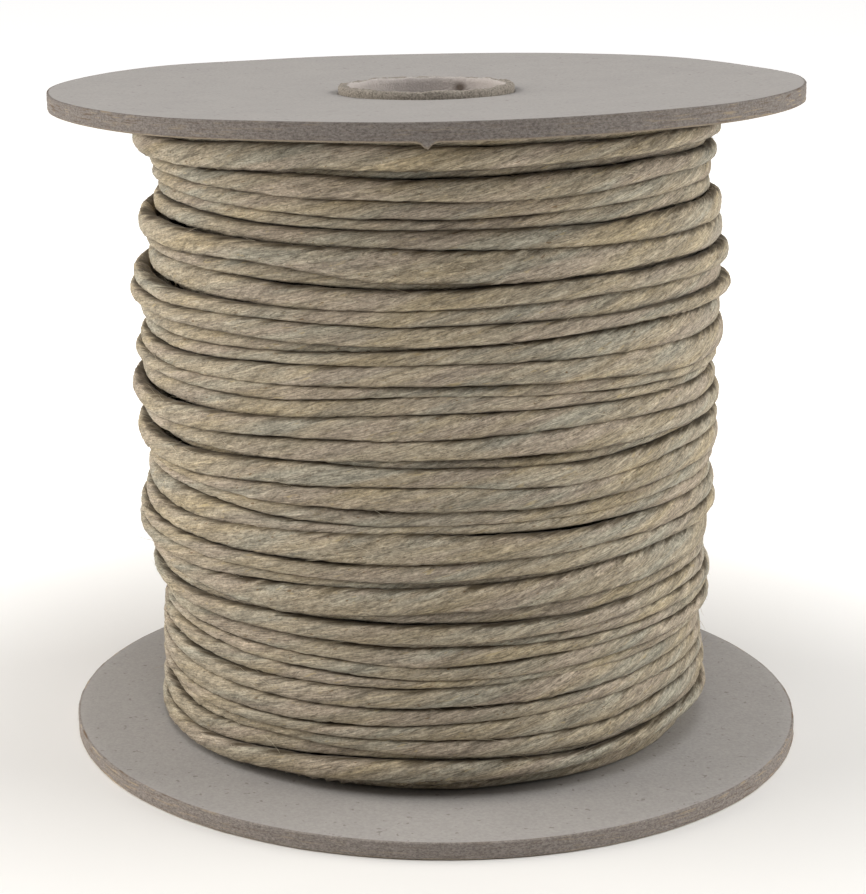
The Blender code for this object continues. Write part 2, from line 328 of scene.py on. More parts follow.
# for each visible turn from the top down, in mm: the height of the crease under it 60 and 30 degrees
# to the left of the front, at the front, and 30 and 60 degrees to the right, then how far it reaches
# out from the axis at the left side, at the front and at the right side
windingTurn = namedtuple(
    "windingTurn", "left midLeft front midRight right leftReach frontReach rightReach"
)
windingTurns = [windingTurn(*row) for row in (
    (104.0, 104.8, 104.7, 104.6, 104.3, 46.6, 46.0, 46.6),
    (100.6, 100.9, 101.2, 101.7, 102.0, 48.3, 47.5, 48.3),
    (99.9, 100.4, 99.8, 100.5, 100.7, 45.4, 45.6, 45.8),
    (97.8, 97.1, 96.6, 96.9, 98.2, 45.8, 47.4, 47.7),
    (95.5, 94.4, 94.1, 94.5, 95.2, 45.4, 47.2, 46.9),
    (93.2, 92.4, 92.4, 92.1, 92.7, 44.6, 46.6, 46.7),
    (90.3, 89.8, 89.5, 88.8, 88.7, 45.5, 47.4, 48.5),
    (86.6, 86.6, 84.4, 84.9, 85.1, 48.1, 48.2, 48.9),
    (84.7, 83.9, 83.7, 84.3, 84.5, 47.0, 45.9, 46.6),
    (80.6, 80.2, 80.6, 81.5, 81.7, 46.6, 47.6, 49.9),
    (78.0, 78.3, 78.0, 78.1, 78.5, 49.4, 47.2, 48.7),
    (75.5, 75.3, 75.0, 76.0, 76.6, 49.9, 47.6, 50.3),
    (72.6, 73.2, 74.6, 75.6, 76.1, 48.5, 46.0, 48.0),
    (70.4, 71.4, 72.1, 72.0, 71.9, 47.7, 47.4, 48.7),
    (67.8, 68.4, 69.1, 68.8, 67.4, 48.6, 47.8, 49.2),
    (65.8, 66.0, 67.5, 66.6, 65.8, 49.6, 46.9, 48.3),
    (62.3, 63.1, 64.5, 64.5, 64.2, 48.3, 47.1, 47.1),
    (59.0, 60.2, 60.7, 61.6, 61.1, 50.3, 47.8, 47.9),
    (56.2, 57.0, 57.8, 57.8, 58.2, 48.8, 47.9, 48.7),
    (55.3, 56.4, 56.3, 55.9, 56.7, 46.8, 46.6, 46.8),
    (51.6, 52.8, 53.5, 52.6, 54.4, 49.8, 47.6, 48.4),
    (50.1, 49.6, 49.7, 49.6, 50.8, 48.5, 47.8, 48.7),
    (48.1, 47.1, 47.2, 47.7, 48.2, 47.9, 46.8, 47.8),
    (43.9, 45.1, 45.8, 45.5, 45.8, 48.4, 46.8, 47.3),
    (40.7, 40.9, 41.4, 42.5, 42.7, 48.9, 48.0, 48.1),
    (38.4, 38.4, 38.2, 39.4, 40.3, 50.0, 47.4, 48.3),
    (35.7, 36.6, 37.4, 38.6, 39.4, 50.2, 46.2, 46.8),
    (32.9, 32.3, 33.4, 34.2, 34.6, 48.6, 47.9, 47.0),
    (30.6, 31.6, 31.2, 31.5, 32.4, 47.2, 45.9, 46.4),
    (28.6, 28.4, 28.3, 29.3, 30.0, 48.3, 47.5, 46.8),
    (28.0, 27.8, 27.8, 27.4, 27.9, 46.2, 46.0, 47.6),
    (25.2, 25.1, 24.7, 25.9, 26.0, 46.3, 47.2, 46.9),
    (23.3, 22.9, 22.3, 23.2, 24.0, 46.2, 46.9, 47.6),
    (20.6, 20.5, 21.1, 22.2, 22.5, 46.8, 46.6, 46.3),
    (17.7, 17.3, 18.0, 18.6, 19.8, 47.1, 47.4, 46.0),
    (14.0, 14.1, 15.2, 16.6, 17.0, 47.3, 47.2, 46.2),
    (11.9, 12.3, 12.7, 12.7, 14.3, 47.2, 47.3, 46.5),
    (9.6, 10.6, 9.9, 9.6, 11.2, 45.9, 47.2, 46.8),
    (6.4, 7.8, 9.4, 8.8, 9.7, 47.4, 45.7, 46.2),
    (3.4, 4.5, 5.9, 6.9, 8.2, 47.9, 47.6, 47.2),
    (3.2, 3.3, 4.3, 5.4, 6.6, 43.6, 44.4, 45.6),
)]


def smoothThrough(stations, values, at):
    # a cubic between each two stations, for many places at once
    stations, values = np.asarray(stations), np.asarray(values)
    i = np.clip(np.searchsorted(stations, at, side="right") - 1, 1, len(stations) - 3)
    span = stations[i + 1] - stations[i]
    startSlope = (values[i + 1] - values[i - 1]) / (stations[i + 1] - stations[i - 1]) * span
    endSlope = (values[i + 2] - values[i]) / (stations[i + 2] - stations[i]) * span
    t = (at - stations[i]) / span
    return (
        values[i] * (2 * t**3 - 3 * t**2 + 1)
        + startSlope * (t**3 - 2 * t**2 + t)
        + values[i + 1] * (3 * t**2 - 2 * t**3)
        + endSlope * (t**3 - t**2)
    )


def windingStations(shares, columns):
    # stations counted in turns from the back, with a flattened turn added at each end
    low = (spool["board"] + spool["clearance"]) / mm
    high = (spool["height"] - spool["board"] - dishDrop(cord["rimReach"])) / mm
    rows = [
        windingTurn(*[high] * 5, 45.0, 45.0, 45.0),
        *windingTurns,
        windingTurn(*[low] * 5, 44.0, 43.6, 43.6),
        windingTurn(*[low] * 5, 43.0, 43.0, 43.0),
    ]
    stations, values = [], []
    before = rows[0]
    for number, row in enumerate(rows):
        stations += [number, *(number + share for share in shares)]
        values.append(0.5 * (getattr(before, columns[-1]) + getattr(row, columns[0])))
        values += [getattr(row, column) for column in columns]
        before = row
    return stations, values


creaseStations = windingStations(
    (1 / 3, 5 / 12, 1 / 2, 7 / 12, 2 / 3), ("left", "midLeft", "front", "midRight", "right")
)
reachStations = windingStations((0.27, 1 / 2, 0.73), ("leftReach", "frontReach", "rightReach"))


def wander(at, every, seed):
    # a smooth random line between -1 and 1 that changes about once in every so many turns
    stations = np.arange(-2, cord["turnsDrawn"] / every + 3) * every
    values = np.random.default_rng(seed).uniform(-1, 1, len(stations))
    return smoothThrough(stations, values, at)


def layCord(name, at, depth):
    # the middle line of a stretch of cord as loose points, with what its section needs
    creaseBelow = smoothThrough(*creaseStations, at) * mm
    creaseAbove = smoothThrough(*creaseStations, np.maximum(at - 1, 0.0)) * mm
    reach = smoothThrough(*reachStations, at) * mm
    wide = np.clip(0.5 * (creaseAbove - creaseBelow) * cord["pressed"], cord["thinnest"], cord["thickest"])
    mean, change, every = cord["widthChange"]
    wide = wide * (mean + change * wander(at, every, cord["seed"]))
    mean, change, every = cord["depthChange"]
    deep = cord["radius"] * (mean + change * wander(at, every, cord["seed"] + 1))
    fromStart = np.clip(1 - (at - cord["firstTurn"]) / cord["diveTurns"], 0, 1)
    fromEnd = np.clip(1 - (cord["lastTurn"] - at) / cord["diveTurns"], 0, 1)
    heights = creaseBelow if depth else 0.5 * (creaseAbove + creaseBelow)
    heights = heights + cord["sway"] * wander(at, cord["swayEvery"], cord["seed"] + 2)
    heights = heights + 0.5 * cord["sway"] * wander(at, cord["rippleEvery"], cord["seed"] + 4)
    ceiling = spool["height"] - spool["board"] - dishDrop(cord["rimReach"])
    heights = np.clip(heights, spool["board"] + wide + cord["spare"], ceiling - wide - cord["spare"])
    middle = reach - deep - depth - cord["dive"] * (fromStart + fromEnd) ** 2
    middle = middle + cord["wobble"] * wander(at, cord["wobbleEvery"], cord["seed"] + 3)
    angle = math.tau * at - 1.5 * math.pi
    points = np.column_stack((middle * np.cos(angle), middle * np.sin(angle), heights))
    lengths = np.linalg.norm(np.diff(points, axis=0), axis=1)
    along = np.concatenate(([0.0], np.cumsum(lengths)))
    path = newPiece(name, points.tolist(), [(i, i + 1) for i in range(len(points) - 1)], [])
    storeOn(path, "middle", "FLOAT_VECTOR", points)
    storeOn(path, "along", "FLOAT", along + at[0] * math.tau * cord["meanReach"])
    storeOn(path, "deep", "FLOAT", deep)
    storeOn(path, "wide", "FLOAT", wide / deep)
    return path


def twistedCordTree():
    # strands twisted round the path, pressed to the shape that the neighbours leave
    tree, given = newTree("twistedCord", {
        "Geometry": "Geometry", "Strands": "Int", "Points": "Int", "Lay": "Float", "Groove": "Float",
        "Squareness": "Float", "Unevenness": "Float", "Lumps": "Float", "Fuzz": "Float",
        "Material": "Material",
    })
    middle, along, deep, wide, groove, number = (
        addNode(tree, "GeometryNodeInputNamedAttribute", {"data_type": kind}, {"Name": name})
        for name, kind in (
            ("middle", "FLOAT_VECTOR"), ("along", "FLOAT"), ("deep", "FLOAT"), ("wide", "FLOAT"),
            ("groove", "FLOAT"), ("strand", "FLOAT"),
        )
    )
    position = addNode(tree, "GeometryNodeInputPosition", {}, {})

    # the line, with a level normal that the twist turns round it
    line = addNode(tree, "GeometryNodeMeshToCurve", {}, {"Mesh": given["Geometry"]})
    line = addNode(tree, "GeometryNodeSetCurveNormal", {"mode": "Z_UP"}, {"Curve": line})
    twists = addNode(tree, "ShaderNodeMath", {"operation": "DIVIDE"}, {0: along, 1: given["Lay"]})
    slow = addNode(tree, "ShaderNodeMath", times, {0: twists, 1: 0.3})
    uneven = addNode(
        tree, "ShaderNodeTexNoise", {"noise_dimensions": "1D"}, {"W": slow, "Scale": 1.0, "Detail": 1.0}
    )
    uneven = addNode(tree, "ShaderNodeMath", timesPlus, {0: uneven, 1: given["Unevenness"], 2: twists})
    tilt = addNode(tree, "ShaderNodeMath", times, {0: uneven, 1: -math.tau})
    line = addNode(tree, "GeometryNodeSetCurveTilt", {}, {"Curve": line, "Tilt": tilt})

    # the section: a circle whose points know their strand and how far they lie in a groove
    pointCount = addNode(tree, "ShaderNodeMath", times, {0: given["Strands"], 1: given["Points"]})
    section = addNode(
        tree, "GeometryNodeCurvePrimitiveCircle", {}, {"Resolution": pointCount, "Radius": 1.0}
    )
    spot = addNode(tree, "GeometryNodeSplineParameter", {}, {})
    share = addNode(tree, "ShaderNodeMath", times, {0: spot.outputs["Factor"], 1: given["Strands"]})
    strand = addNode(tree, "ShaderNodeMath", {"operation": "FLOOR"}, {0: share})
    bow = addNode(tree, "ShaderNodeMath", {"operation": "FRACT"}, {0: share})
    bow = addNode(tree, "ShaderNodeMath", times, {0: bow, 1: math.pi})
    bow = addNode(tree, "ShaderNodeMath", {"operation": "SINE"}, {0: bow})
    bow = addNode(tree, "ShaderNodeMath", unsigned, {0: bow})
    bow = addNode(tree, "ShaderNodeMath", toPower, {0: bow, 1: 0.6})
    bow = addNode(tree, "ShaderNodeMath", minus, {0: 1.0, 1: bow})
    onPoints = {"data_type": "FLOAT", "domain": "POINT"}
    for name, value in (("groove", bow), ("strand", strand)):
        section = addNode(
            tree, "GeometryNodeStoreNamedAttribute", onPoints,
            {"Geometry": section, "Name": name, "Value": value},
        )
    body = addNode(
        tree, "GeometryNodeCurveToMesh", {},
        {"Curve": line, "Profile Curve": section, "Scale": deep, "Fill Caps": True},
    )

    # lumps in each strand, and grooves that come and go
    number = addNode(tree, "ShaderNodeMath", times, {0: number, 1: 17.3})
    lumpPlace = addNode(tree, "ShaderNodeMath", times, {0: twists, 1: 1.6})
    lumpPlace = addNode(tree, "ShaderNodeCombineXYZ", {}, {"X": lumpPlace, "Y": number})
    lumps = addNode(tree, "ShaderNodeTexNoise", {}, {"Vector": lumpPlace, "Scale": 1.0, "Detail": 2.0})
    lumps = addNode(tree, "ShaderNodeMath", minus, {0: lumps, 1: 0.5})
    lumps = addNode(tree, "ShaderNodeMath", times, {0: lumps, 1: given["Lumps"]})
    size = addNode(tree, "ShaderNodeMath", timesPlus, {0: lumps, 1: 2.0, 2: 1.0})
    broken = addNode(tree, "ShaderNodeTexNoise", {}, {"Vector": lumpPlace, "Scale": 1.7, "Detail": 1.0})
    broken = addNode(tree, "ShaderNodeMapRange", {}, {"Value": broken, **between(0.35, 0.65, 0.1, 1.6)})
    drawn = addNode(tree, "ShaderNodeMath", times, {0: groove, 1: given["Groove"]})
    drawn = addNode(tree, "ShaderNodeMath", times, {0: drawn, 1: broken})
    size = addNode(tree, "ShaderNodeMath", minus, {0: size, 1: drawn})

    # the round section flattened on four sides, then made as tall as its room
    flat = addNode(tree, "ShaderNodeVectorMath", times, {0: middle, 1: (1.0, 1.0, 0.0)})
    flat = addNode(tree, "ShaderNodeVectorMath", {"operation": "NORMALIZE"}, {0: flat})
    offset = addNode(tree, "ShaderNodeVectorMath", minus, {0: position, 1: middle})
    aim = addNode(tree, "ShaderNodeVectorMath", {"operation": "NORMALIZE"}, {0: offset})
    out = addNode(tree, "ShaderNodeVectorMath", {"operation": "DOT_PRODUCT"}, {0: aim, 1: flat})
    out = addNode(tree, "ShaderNodeMath", unsigned, {0: out.outputs["Value"]})
    up = addNode(tree, "ShaderNodeSeparateXYZ", {}, {"Vector": aim})
    up = addNode(tree, "ShaderNodeMath", unsigned, {0: up.outputs["Z"]})
    out = addNode(tree, "ShaderNodeMath", toPower, {0: out, 1: given["Squareness"]})
    up = addNode(tree, "ShaderNodeMath", toPower, {0: up, 1: given["Squareness"]})
    square = addNode(tree, "ShaderNodeMath", {"operation": "ADD"}, {0: out, 1: up})
    root = addNode(tree, "ShaderNodeMath", {"operation": "DIVIDE"}, {0: -1.0, 1: given["Squareness"]})
    square = addNode(tree, "ShaderNodeMath", toPower, {0: square, 1: root})
    size = addNode(tree, "ShaderNodeMath", times, {0: size, 1: square})
    offset = addNode(tree, "ShaderNodeVectorMath", scaled, {0: offset, "Scale": size})
    press = addNode(tree, "ShaderNodeCombineXYZ", {}, {"X": 1.0, "Y": 1.0, "Z": wide})
    offset = addNode(tree, "ShaderNodeVectorMath", times, {0: offset, 1: press})
    placed = addNode(tree, "ShaderNodeVectorMath", {"operation": "ADD"}, {0: middle, 1: offset})

    # a felted skin, uneven along the normal
    fuzz = addNode(
        tree, "ShaderNodeTexNoise", {}, {"Vector": position, "Scale": 1 / (1.1 * mm), "Detail": 2.0}
    )
    fuzz = addNode(tree, "ShaderNodeMath", minus, {0: fuzz, 1: 0.5})
    fuzz = addNode(tree, "ShaderNodeMath", times, {0: fuzz, 1: given["Fuzz"]})
    outward = addNode(tree, "GeometryNodeInputNormal", {}, {})
    fuzz = addNode(tree, "ShaderNodeVectorMath", scaled, {0: outward, "Scale": fuzz})
    body = addNode(
        tree, "GeometryNodeSetPosition", {}, {"Geometry": body, "Position": placed, "Offset": fuzz}
    )

    # along the cord, out from its middle and up from it: fibres follow this
    here = addNode(tree, "ShaderNodeVectorMath", minus, {0: position, 1: middle})
    outHere = addNode(tree, "ShaderNodeVectorMath", {"operation": "DOT_PRODUCT"}, {0: here, 1: flat})
    upHere = addNode(tree, "ShaderNodeSeparateXYZ", {}, {"Vector": here})
    fibre = addNode(
        tree, "ShaderNodeCombineXYZ", {},
        {"X": along, "Y": outHere.outputs["Value"], "Z": upHere.outputs["Z"]},
    )
    body = addNode(
        tree, "GeometryNodeStoreNamedAttribute", {"data_type": "FLOAT_VECTOR", "domain": "POINT"},
        {"Geometry": body, "Name": "fibre", "Value": fibre},
    )
    # how near a point lies to the crease between turns, where the hemp material paints shade
    level = addNode(tree, "ShaderNodeMath", {"operation": "DIVIDE"}, {0: upHere.outputs["Z"], 1: deep})
    level = addNode(tree, "ShaderNodeMath", {"operation": "DIVIDE"}, {0: level, 1: wide})
    level = addNode(tree, "ShaderNodeMath", unsigned, {0: level})
    body = addNode(
        tree, "GeometryNodeStoreNamedAttribute", onPoints,
        {"Geometry": body, "Name": "besideCrease", "Value": level},
    )
    body = addNode(tree, "GeometryNodeSetShadeSmooth", {}, {"Geometry": body, "Shade Smooth": True})
    body = addNode(tree, "GeometryNodeRealizeInstances", {}, {"Geometry": body})
    body = addNode(tree, "GeometryNodeSetMaterial", {}, {"Geometry": body, "Material": given["Material"]})
    addNode(tree, "NodeGroupOutput", {}, {"Geometry": body})
    return tree


hemp = {
    "beige": "#a19682",
    "straw": "#a5977c",
    "pink": "#a19484",
    "grey": "#9a9586",
    "strawFleck": "#b8a67e",
    "pale": "#cbc2ae",
    "dark": "#423726",
    "fleck": "#6b5030",
    "fibreLay": 36.0 * mm,  # length in which the surface fibres go once round the cord
    "fine": (1.9 * mm, 0.21 * mm),  # length and width of fibres, coarser than real ones to show
    "coarse": (8.0 * mm, 1.0 * mm),  # of bundles of fibres
    "patch": (34.0 * mm, 4.0 * mm),  # of stretches of one tone
    "line": (5.0 * mm, 0.8 * mm),  # of single long fibres that lie on top
    "speck": (1.3 * mm, 0.5 * mm),
    "strawSpeck": (2.6 * mm, 0.5 * mm),
    "tuft": (0.5 * mm, 0.35 * mm),
    # the noise values between which a tone or a speck comes in, and its share at each end
    "greyWhere": (0.36, 0.50, 1.0, 0.0),
    "strawWhere": (0.52, 0.66, 0.0, 0.9),
    "pinkWhere": (0.50, 0.64, 0.0, 0.8),
    "fleckWhere": (0.72, 0.77, 0.0, 0.7),
    "strawFleckWhere": (0.68, 0.76, 0.0, 0.60),
    # painted shade: the same for the darkening in the grooves and beside the creases
    "paintedGrooveShade": (0.42, 0.60, 0.26, 0.0),
    "paintedCreaseShade": (0.34, 0.66, 0.0, 0.9),
    # how much each kind of streak darkens and lightens
    "fineShade": (0.30, 0.70, 0.52, 1.45),
    "coarseShade": (0.30, 0.70, 0.72, 1.24),
    "feltShade": (0.30, 0.70, 0.78, 1.22),
    "roughness": 0.92,
    "specular": 0.2,
    "sheen": 0.06,
}


def hempMaterial():
    # hemp bast fibre, spun unbleached and felted by handling: dry and matt, streaked along the cord
    # in beige, straw and grey, with pale and dark single fibres, a few specks of stalk, and painted shade
    # in the grooves and creases
    material, tree, surface = newMaterial("unbleached hemp fibre")
    straight = addNode(tree, "ShaderNodeAttribute", {"attribute_name": "fibre"}, {}).outputs["Vector"]
    crease = addNode(tree, "ShaderNodeAttribute", {"attribute_name": "besideCrease"}, {}).outputs["Fac"]
    along = addNode(tree, "ShaderNodeSeparateXYZ", {}, {"Vector": straight})
    spiral = addNode(
        tree, "ShaderNodeMath", times, {0: along.outputs["X"], 1: -math.tau / hemp["fibreLay"]}
    )
    fibre = addNode(
        tree, "ShaderNodeVectorRotate", {"rotation_type": "X_AXIS"},
        {"Vector": straight, "Center": (0.0, 0.0, 0.0), "Angle": spiral},
    )
    strand = addNode(tree, "ShaderNodeAttribute", {"attribute_name": "strand"}, {}).outputs["Fac"]
    groove = addNode(tree, "ShaderNodeAttribute", {"attribute_name": "groove"}, {}).outputs["Fac"]

    # one noise for each kind of streak, stretched along the cord and shifted away from the others
    streaks = {}
    for name, sizes, detail, distortion, shift in (
        ("fine", hemp["fine"], 3.0, 0.6, 0.0),
        ("coarse", hemp["coarse"], 2.0, 0.5, 11.0),
        ("patch", hemp["patch"], 2.0, 0.0, 23.0),
        ("tint", hemp["patch"], 1.0, 0.0, 37.0),
        ("paleLine", hemp["line"], 1.0, 1.2, 51.0),
        ("darkLine", hemp["line"], 1.0, 1.2, 68.0),
        ("fleck", hemp["speck"], 1.0, 0.0, 83.0),
        ("strawFleck", hemp["strawSpeck"], 1.0, 0.8, 97.0),
        ("felt", hemp["tuft"], 2.0, 0.0, 113.0),
    ):
        length, width = sizes
        place = addNode(
            tree, "ShaderNodeMapping", {"vector_type": "POINT"},
            {"Vector": fibre, "Location": (shift, shift, shift),
             "Scale": (1 / length, 1 / width, 1 / width)},
        )
        streaks[name] = addNode(
            tree, "ShaderNodeTexNoise", {},
            {"Vector": place, "Scale": 1.0, "Detail": detail, "Roughness": 0.6, "Distortion": distortion},
        )

    # tone of a stretch: beige that turns to grey, straw or pink
    tone = toLinear(hemp["beige"])
    for colour, kind in (("grey", "patch"), ("straw", "patch"), ("pink", "tint")):
        share = addNode(
            tree, "ShaderNodeMapRange", {}, {"Value": streaks[kind], **between(*hemp[colour + "Where"])}
        )
        tone = addNode(
            tree, "ShaderNodeMix", mixColours, {"Factor": share, "A": tone, "B": toLinear(hemp[colour])}
        )

    # light and dark streaks, the fine ones over the coarse ones
    shade = 1.0
    for kind in ("fine", "coarse", "felt"):
        part = addNode(
            tree, "ShaderNodeMapRange", {}, {"Value": streaks[kind], **between(*hemp[kind + "Shade"])}
        )
        shade = addNode(tree, "ShaderNodeMath", times, {0: shade, 1: part})
    tone = addNode(tree, "ShaderNodeVectorMath", scaled, {0: tone, "Scale": shade})

    # single fibres are where their noise crosses its middle
    for name, colour, share in (("paleLine", hemp["pale"], 0.55), ("darkLine", hemp["dark"], 0.50)):
        line = addNode(tree, "ShaderNodeMath", minus, {0: streaks[name], 1: 0.5})
        line = addNode(tree, "ShaderNodeMath", unsigned, {0: line})
        line = addNode(
            tree, "ShaderNodeMapRange", {}, {"Value": line, **between(0.004, 0.016, share, 0.0)}
        )
        line = addNode(tree, "ShaderNodeMath", times, {0: line, 1: streaks["coarse"]})
        line = addNode(tree, "ShaderNodeMath", times, {0: line, 1: 1.6})
        tone = addNode(
            tree, "ShaderNodeMix", mixColours, {"Factor": line, "A": tone, "B": toLinear(colour)}
        )

    # specks of stalk, then painted shade in broken stretches of the grooves and beside the creases between
    # turns
    for colour in ("fleck", "strawFleck"):
        share = addNode(
            tree, "ShaderNodeMapRange", {}, {"Value": streaks[colour], **between(*hemp[colour + "Where"])}
        )
        tone = addNode(
            tree, "ShaderNodeMix", mixColours, {"Factor": share, "A": tone, "B": toLinear(hemp[colour])}
        )
    # painted shade in the grooves between strands
    inGroove = addNode(tree, "ShaderNodeMapRange", {}, {"Value": groove, **between(0.40, 1.0)})
    paintedShade = addNode(
        tree, "ShaderNodeMapRange", {}, {"Value": streaks["coarse"], **between(*hemp["paintedGrooveShade"])}
    )
    paintedShade = addNode(tree, "ShaderNodeMath", times, {0: paintedShade, 1: inGroove})
    # painted shade beside the creases between turns, ragged along the cord
    ragged = addNode(tree, "ShaderNodeMath", timesPlus, {0: streaks["coarse"], 1: -0.7, 2: crease})
    beside = addNode(tree, "ShaderNodeMapRange", {}, {"Value": ragged, **between(*hemp["paintedCreaseShade"])})
    paintedShade = addNode(tree, "ShaderNodeMath", {"operation": "MAXIMUM"}, {0: paintedShade, 1: beside})
    tone = addNode(
        tree, "ShaderNodeMix", mixColours, {"Factor": paintedShade, "A": tone, "B": toLinear(hemp["dark"])}
    )

    bump = addNode(
        tree, "ShaderNodeBump", {}, {"Height": streaks["fine"], "Strength": 0.5, "Distance": 0.12 * mm}
    )
    bump = addNode(
        tree, "ShaderNodeBump", {},
        {"Height": streaks["coarse"], "Strength": 0.4, "Distance": 0.4 * mm, "Normal": bump},
    )
    fillInputs(tree, surface, {
        "Base Color": tone, "Normal": bump, "Roughness": hemp["roughness"],
        "Specular IOR Level": hemp["specular"], "Sheen Weight": hemp["sheen"],
    })
    return material


def makeCord():
    tree = twistedCordTree()
    material = hempMaterial()
    values = {
        "Strands": cord["strands"], "Points": cord["pointsPerStrand"], "Lay": cord["lay"],
        "Groove": cord["groove"], "Squareness": cord["squareness"], "Unevenness": cord["unevenness"],
        "Lumps": cord["lumps"], "Fuzz": cord["fuzz"], "Material": material,
    }
    ends = [cord["firstTurn"], *cord["cuts"], cord["lastTurn"]]
    bands = []
    for band, start, end in zip(cord["bands"], ends, ends[1:]):
        steps = round((end - start) * math.tau * cord["meanReach"] / cord["step"])
        path = layCord("cord_" + band, np.linspace(start, end, steps + 1), 0.0)
        bands.append(grow(path, tree, values))
    steps = round((ends[-1] - ends[0]) * math.tau * cord["underReach"] / cord["underStep"])
    under = layCord("cord_under", np.linspace(ends[0], ends[-1], steps + 1), cord["underDepth"])
    grow(under, tree, {**values, "Points": cord["underPoints"]})
    return bands, under


cordBands, underCord = makeCord()


# loose fibres: single hairs that have worked out of the cord and lie along it
hairs = {
    "perSquareMetre": 42000,
    "points": 7,
    "shortest": 1.0 * mm,
    "longest": 9.0 * mm,
    "thickness": 0.075 * mm,  # about twice the real one, or it wouldn't show
    "spread": math.radians(28),
    "lift": 0.16,  # how far a tip stands off, as a share of the length
    "curl": 0.9 * mm,
    "curlEvery": 2.2 * mm,
    "pale": "#d8cdb6",
    "brown": "#8a7a5e",
    "roughness": 0.7,
    "specular": 0.3,
}


